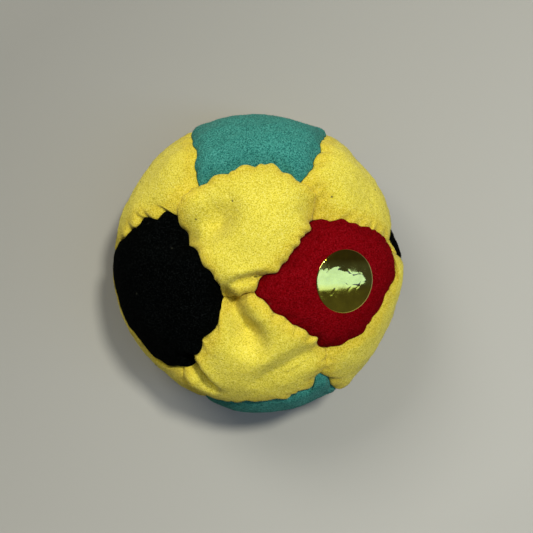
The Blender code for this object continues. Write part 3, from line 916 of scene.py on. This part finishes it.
class FOOTBAG_OT_seal(bpy.types.Operator):
    """Press the creased foil seal on the red panel"""

    bl_idname = "footbag.seal"
    bl_label = "Foil seal"

    def execute(self, context):
        seal = context.scene.footbag_seal
        red = bpy.data.objects.get("soft_red_panel_top")
        if red is None:
            raise RuntimeError("make the panels before the seal")
        skin = BVHTree.FromObject(red, context.evaluated_depsgraph_get())
        ray = direction(seal.longitude, seal.latitude)
        out = -way_in(on_skin(ray[None]))[0]
        turn = Vector(out).to_track_quat("Z", "Y")
        start = on_skin(ray[None])[0] + HEART + out * seal.radius
        disc, places = sphere_grid(SEAL_SIDES, 2 * SEAL_ROWS)
        bmesh.ops.delete(disc, geom=[v for v, p in places.items() if p[0] > SEAL_ROWS], context="VERTS")
        flats, hits = [], []
        for vertex in disc.verts:
            row, side = places[vertex]
            angle = math.tau * side / SEAL_SIDES
            reach = seal.radius * row / SEAL_ROWS
            flats.append((reach * math.cos(angle), reach * math.sin(angle), 0.0))
            hit, _, _, distance = skin.ray_cast(Vector(start) + turn @ Vector(flats[-1]), -Vector(out))
            if hit is None:
                raise RuntimeError("the seal reaches past the red panel")
            hits.append(-distance)
        flats, hits = np.array(flats), np.array(hits)
        across, along, _ = flats.T
        terms = np.stack((np.ones(len(hits)), across, along, across**2, across * along, along**2), axis=1)
        smooth = terms @ np.linalg.lstsq(terms, hits, rcond=None)[0]
        smooth += np.max(hits - smooth) + SEAL_CLEARANCE
        creases = sum(
            share * (1 - np.abs(waves(flats, length, seed))) for length, seed, share in CREASE_WAVES)
        height = smooth + seal.crease * creases * np.clip(waves(flats, *PATCH_WAVES) + 0.4, 0, 1)
        for vertex, flat, up in zip(disc.verts, flats, height):
            vertex.co = Vector(start) + turn @ Vector(flat) + Vector(out) * up
        bmesh.ops.recalc_face_normals(disc, faces=disc.faces)
        obj = object_of("creased_foil_seal", disc, foil_material(), ["foil_seal"])
        foil = obj.modifiers.new("foil", "SOLIDIFY")
        foil.thickness = seal.thickness
        foil.offset = 1.0
        return {"FINISHED"}


def fill(tree, node, sockets):
    """Links each socket of a node to another node's output, or sets it to a constant."""
    for socket, value in sockets.items():
        if isinstance(value, bpy.types.NodeSocket):
            tree.links.new(value, node.inputs[socket])
        else:
            node.inputs[socket].default_value = value


def add(tree, kind, sockets=None, **settings):
    """A new shader node's outputs, its settings and sockets being given."""
    node = tree.nodes.new("ShaderNode" + kind)
    for name, value in settings.items():
        setattr(node, name, value)
    fill(tree, node, sockets or {})
    return node.outputs


def noise_node(tree, place, scale, detail, roughness=0.5):
    sockets = {"Vector": place, "Scale": scale, "Detail": detail, "Roughness": roughness}
    return add(tree, "TexNoise", sockets)["Fac"]


def cells_node(tree, place, scale, feature="F1"):
    return add(tree, "TexVoronoi", {"Vector": place, "Scale": scale}, feature=feature)


def range_node(tree, value, low, high, to_low, to_high):
    sockets = {"Value": value, "From Min": low, "From Max": high, "To Min": to_low, "To Max": to_high}
    return add(tree, "MapRange", sockets)["Result"]


def math_node(tree, operation, first, second):
    return add(tree, "Math", {0: first, 1: second}, operation=operation)["Value"]


def product(tree, first, second):
    return math_node(tree, "MULTIPLY", first, second)


def scaled(tree, vector, scale):
    return add(tree, "VectorMath", {0: vector, "Scale": scale}, operation="SCALE")[0]


def mix_node(tree, share, first, second, blend="MIX"):
    return add(tree, "Mix", {0: share, 6: first, 7: second}, data_type="RGBA", blend_type=blend)[2]


def place_in(tree):
    return add(tree, "TexCoord")["Object"]


def tinted(colour, share=1.0):
    """A colour with its alpha, times one share or a share for each of red, green and blue."""
    return (*np.multiply(colour, share), 1.0)


def new_material(name):
    material = bpy.data.materials.new(name)
    material.use_nodes = True
    return material, material.node_tree


def coat(tree, sockets, height=None, strength=0.0, distance=0.0, invert=False):
    """Fills the sockets of a material's shader, with bump where a height is given."""
    if height is not None:
        sockets_of_bump = {"Height": height, "Strength": strength, "Distance": distance}
        sockets = {**sockets, "Normal": add(tree, "Bump", sockets_of_bump, invert=invert)["Normal"]}
    fill(tree, tree.nodes["Principled BSDF"], sockets)


def nap_group():
    """Mottled nap of suede: dark fibres, light tips, broad unevenness, specks of dirt, and painted shade with
    some soiling along the seams.
    """
    found = bpy.data.node_groups.get("suede nap")
    if found:
        return found
    group = bpy.data.node_groups.new("suede nap", "ShaderNodeTree")
    for way, kind, names in (
            ("INPUT", "NodeSocketColor", ("Colour", "Dark fibre", "Light tip", "Fold tint")),
            ("INPUT", "NodeSocketFloat", ("Contrast", "Dirt")),
            ("OUTPUT", "NodeSocketColor", ("Colour",)),
            ("OUTPUT", "NodeSocketFloat", ("Height", "Roughness"))):
        for name in names:
            group.interface.new_socket(name=name, in_out=way, socket_type=kind)
    given, made = group.nodes.new("NodeGroupInput").outputs, group.nodes.new("NodeGroupOutput")
    place = place_in(group)
    fine = noise_node(group, place, 4400, 1.0, 0.6)
    middle = noise_node(group, place, 2300, 2.0, 0.6)
    broad = noise_node(group, place, 130, 3.0, 0.55)
    grain = math_node(group, "ADD", product(group, fine, 0.65), product(group, middle, 0.35))
    dark = product(group, range_node(group, grain, 0.40, 0.50, 1.0, 0.0), given["Contrast"])
    light = product(group, range_node(group, grain, 0.52, 0.64, 0.0, 1.0), given["Contrast"])
    mottled = mix_node(group, dark, given["Colour"], given["Dark fibre"])
    tipped = mix_node(group, light, mottled, given["Light tip"])
    toned = scaled(group, tipped, range_node(group, broad, 0.3, 0.7, 0.92, 1.06))
    cells = cells_node(group, place, 420)
    speck = range_node(group, cells["Distance"], 0.06, 0.12, 1.0, 0.0)
    chance = add(group, "SeparateColor", {"Color": cells["Color"]})[0]
    some = range_node(group, chance, 0.87, 0.92, 0.0, 1.0)
    specks = product(group, product(group, speck, some), given["Dirt"])
    spotted = mix_node(group, specks, toned, (0.05, 0.05, 0.035, 1.0))
    # Painted shade with some soiling: the suede darkens towards each seam and on its rolled edges, by
    # seam_near times the fold colour
    seam_shade_and_soiling = product(group, add(group, "Attribute", attribute_name="seam_near")["Fac"], 0.6)
    seam_shaded = mix_node(group, seam_shade_and_soiling, spotted, given["Fold tint"], "MULTIPLY")
    rough = range_node(group, middle, 0.3, 0.7, 0.84, 1.0)
    fill(group, made, {"Colour": seam_shaded, "Height": grain, "Roughness": rough})
    return group


# Each suede's dark fibres, light tips, colour of the painted shade with soiling in the folds, contrast, dirt
# and sheen
SUEDES = {
    "yellow": ((0.42, 0.33, 0.012), (0.92, 0.83, 0.22), (0.90, 0.78, 0.50), 0.62, 0.8, 0.10),
    "teal": ((0.006, 0.080, 0.068), (0.10, 0.38, 0.31), (0.85, 0.85, 0.85), 0.80, 0.6, 0.05),
    "red": ((0.090, 0.0002, 0.001), (0.27, 0.008, 0.014), (0.85, 0.85, 0.85), 0.75, 0.2, 0.0),
    "black": ((0.0001, 0.0002, 0.0002), (0.007, 0.0078, 0.0075), (1.0, 1.0, 1.0), 0.80, 0.35, 0.0),
}


def suede_material(colour):
    """Napped suede of one colour."""
    name = f"{colour} suede"
    found = bpy.data.materials.get(name)
    if found:
        return found
    dark, light, fold, contrast, dirt, sheen = SUEDES[colour]
    material, tree = new_material(name)
    nap = add(tree, "Group", {
        "Colour": tinted(getattr(bpy.context.scene.footbag_suede, colour)), "Dark fibre": tinted(dark),
        "Light tip": tinted(light), "Fold tint": tinted(fold), "Contrast": contrast, "Dirt": dirt,
    }, node_tree=nap_group())
    coat(tree, {
        "Base Color": nap["Colour"], "Roughness": nap["Roughness"], "Specular IOR Level": 0.01,
        "Sheen Weight": sheen, "Sheen Roughness": 0.5}, nap["Height"], 1.0, 0.00022)
    return material


def thread_material():
    """Waxed thread of twisted plies."""
    found = bpy.data.materials.get("waxed thread")
    if found:
        return found
    material, tree = new_material("waxed thread")
    plies = noise_node(tree, place_in(tree), 4500, 2.0)
    colour = bpy.context.scene.footbag_stuffing.thread
    waxed = mix_node(
        tree, range_node(tree, plies, 0.35, 0.65, 0.0, 1.0), tinted(colour, 0.45), tinted(colour))
    coat(tree, {"Base Color": waxed, "Roughness": 0.6}, plies, 0.5, 0.00005)
    return material


def filling_material():
    """A heap of matt grains."""
    material, tree = new_material("matt grains")
    cells = cells_node(tree, place_in(tree), 700)
    tint = add(tree, "SeparateColor", {"Color": cells["Color"]})[0]
    colour = bpy.context.scene.footbag_stuffing.filling
    grains = mix_node(tree, tint, tinted(colour, 0.6), tinted(colour))
    coat(tree, {"Base Color": grains, "Roughness": 0.75}, cells["Distance"], 0.9, 0.0004, invert=True)
    return material


def foil_material():
    """Thin gold foil with fine creases, its colour darker and browner towards the back and brighter towards
    the front as painted shade and reflection, with a painted reflection band across the middle.
    """
    material, tree = new_material("gold foil")
    place = place_in(tree)
    cloud = noise_node(tree, place, 500, 4.0, 0.6)
    colour = bpy.context.scene.footbag_seal.foil
    level = add(tree, "SeparateXYZ", {"Vector": place})["Y"]
    # Painted reflection and shade: the foil's colour brighter towards the front and darker and browner
    # towards the back
    painted_reflection_gradient = mix_node(
        tree, range_node(tree, level, -0.0085, 0.0005, 0.0, 1.0),
        tinted(colour, 1.6), tinted(colour, (0.55, 0.46, 0.15)))
    # Painted reflection: a paler, bluer band across the middle of the foil
    away = math_node(tree, "ABSOLUTE", math_node(tree, "SUBTRACT", level, -0.0022), 0.0)
    painted_reflection_band = mix_node(
        tree, range_node(tree, away, 0.0016, 0.0030, 1.0, 0.0), painted_reflection_gradient, tinted(colour, (1.05, 1.2, 3.0)))
    clouded = mix_node(
        tree, range_node(tree, cloud, 0.35, 0.65, 0.35, 0.0), painted_reflection_band, (0.4, 0.4, 0.4, 1.0), "MULTIPLY")
    shift = add(tree, "TexNoise", {"Vector": place, "Scale": 260})["Color"]
    warped = add(tree, "VectorMath", {0: place, 1: scaled(tree, shift, 0.0035)}, operation="ADD")[0]
    cells = cells_node(tree, warped, 380, "DISTANCE_TO_EDGE")
    crease = range_node(tree, cells["Distance"], 0.0, 0.14, 0.0, 1.0)
    coat(tree, {
        "Base Color": clouded, "Metallic": 1.0, "Coat Weight": 0.5, "Coat Roughness": 0.05,
        "Roughness": range_node(tree, cloud, 0.3, 0.7, 0.03, 0.10)}, crease, 0.22, 0.00004)
    return material


def board_material():
    """A pale painted board, darker to the back left and paler to the front right: a painted falloff of the
    light.
    """
    material, tree = new_material("painted board")
    axes = add(tree, "SeparateXYZ", {"Vector": place_in(tree)})
    across = math_node(tree, "SUBTRACT", product(tree, axes["X"], 0.76), axes["Y"])
    colour = bpy.context.scene.footbag_stage.board
    # Painted light falloff: the board's colour paler to the front right and darker to the back left
    painted_light_falloff = mix_node(
        tree, range_node(tree, across, -0.09, 0.09, 0.0, 1.0), tinted(colour, 0.74), tinted(colour, 1.26))
    coat(tree, {"Base Color": painted_light_falloff, "Roughness": 0.6, "Specular IOR Level": 0.2})
    return material


def lamp(name, ray, distance, width, length, power, shape="RECTANGLE", tint=(1.0, 1.0, 1.0), roll=0.0):
    """An area lamp that faces the heart of the bag."""
    light = bpy.data.lights.new(name, "AREA")
    light.shape = shape
    light.size = width
    light.size_y = length
    light.energy = power
    light.color = tint
    obj = bpy.data.objects.new(name, light)
    obj.location = Vector(HEART + ray * distance)
    turned = Vector(ray).to_track_quat("Z", "Y") @ Quaternion((0.0, 0.0, 1.0), math.radians(roll))
    obj.rotation_euler = turned.to_euler()
    bpy.context.scene.collection.objects.link(obj)


class FOOTBAG_OT_stage(bpy.types.Operator):
    """Set up the board, the even light, the lamps and the camera"""

    bl_idname = "footbag.stage"
    bl_label = "Stage"

    def execute(self, context):
        stage = context.scene.footbag_stage
        grid = bmesh.new()
        bmesh.ops.create_grid(grid, x_segments=1, y_segments=1, size=1.5)
        mesh = bpy.data.meshes.new("board")
        grid.to_mesh(mesh)
        grid.free()
        mesh.materials.append(board_material())
        board = bpy.data.objects.new("board", mesh)
        context.scene.collection.objects.link(board)
        world = bpy.data.worlds.new("even light")
        world.use_nodes = True
        sky = world.node_tree.nodes["Background"]
        sky.inputs["Color"].default_value = (1.0, 0.97, 0.86, 1.0)
        sky.inputs["Strength"].default_value = stage.sky
        context.scene.world = world
        key = direction(stage.key_turn, stage.key_rise)
        lamp("key_lamp", key, 0.8, 0.11, 0.11, stage.key, "ELLIPSE", (1.0, 0.985, 0.91))
        lamp("ceiling_lamp", direction(90.0, 86.0), 0.5, 0.7, 0.72, 0.12)
        lamp("back_lamp", direction(128.0, 46.0), 0.8, 0.32, 0.32, 2.4)
        lamp(
            "side_panel", direction(-15.0, 54.0), 0.5, 0.105, 0.66, 0.36, "ELLIPSE", (0.66, 0.93, 1.55), 11.0)
        lens = bpy.data.cameras.new("photo_camera")
        lens.sensor_width = 36.0
        lens.lens = 64.12
        lens.shift_x = 0.0154
        lens.shift_y = -0.0079
        lens.clip_start = 0.01
        camera = bpy.data.objects.new("photo_camera", lens)
        camera.location = Vector(HEART) + Vector((0.0, 0.0, 0.200))
        context.scene.collection.objects.link(camera)
        context.scene.camera = camera
        context.scene.view_settings.view_transform = "Standard"
        return {"FINISHED"}


class FOOTBAG_PT_sidebar(bpy.types.Panel):
    """The footbag's sizes, colours and pieces"""

    bl_idname = "FOOTBAG_PT_sidebar"
    bl_label = "Footbag"
    bl_space_type = "VIEW_3D"
    bl_region_type = "UI"
    bl_category = "Footbag"

    def draw(self, context):
        for group in GROUPS:
            values = getattr(context.scene, group)
            box = self.layout.box()
            for name in values.bl_rna.properties.keys():
                if name not in ("rna_type", "name"):
                    box.prop(values, name)
        for operator in OPERATORS:
            self.layout.operator(operator.bl_idname)


GROUPS = {
    "footbag_suede": FootbagSuede, "footbag_seal": FootbagSeal,
    "footbag_stuffing": FootbagStuffing, "footbag_stage": FootbagStage,
}
OPERATORS = (
    FOOTBAG_OT_stage, FOOTBAG_OT_panels, FOOTBAG_OT_nap, FOOTBAG_OT_threads, FOOTBAG_OT_filling,
    FOOTBAG_OT_seal)
CLASSES = (*GROUPS.values(), *OPERATORS, FOOTBAG_PT_sidebar)


def register():
    for cls in CLASSES:
        bpy.utils.register_class(cls)
    for name, group in GROUPS.items():
        setattr(bpy.types.Scene, name, bpy.props.PointerProperty(type=group))


def unregister():
    for name in GROUPS:
        delattr(bpy.types.Scene, name)
    for cls in reversed(CLASSES):
        bpy.utils.unregister_class(cls)


def main():
    register()
    bpy.ops.footbag.stage()
    bpy.ops.footbag.panels()
    bpy.ops.footbag.nap()
    bpy.ops.footbag.threads()
    bpy.ops.footbag.filling()
    bpy.ops.footbag.seal()
    bpy.context.view_layer.update()


if __name__ == "__main__":
    main()
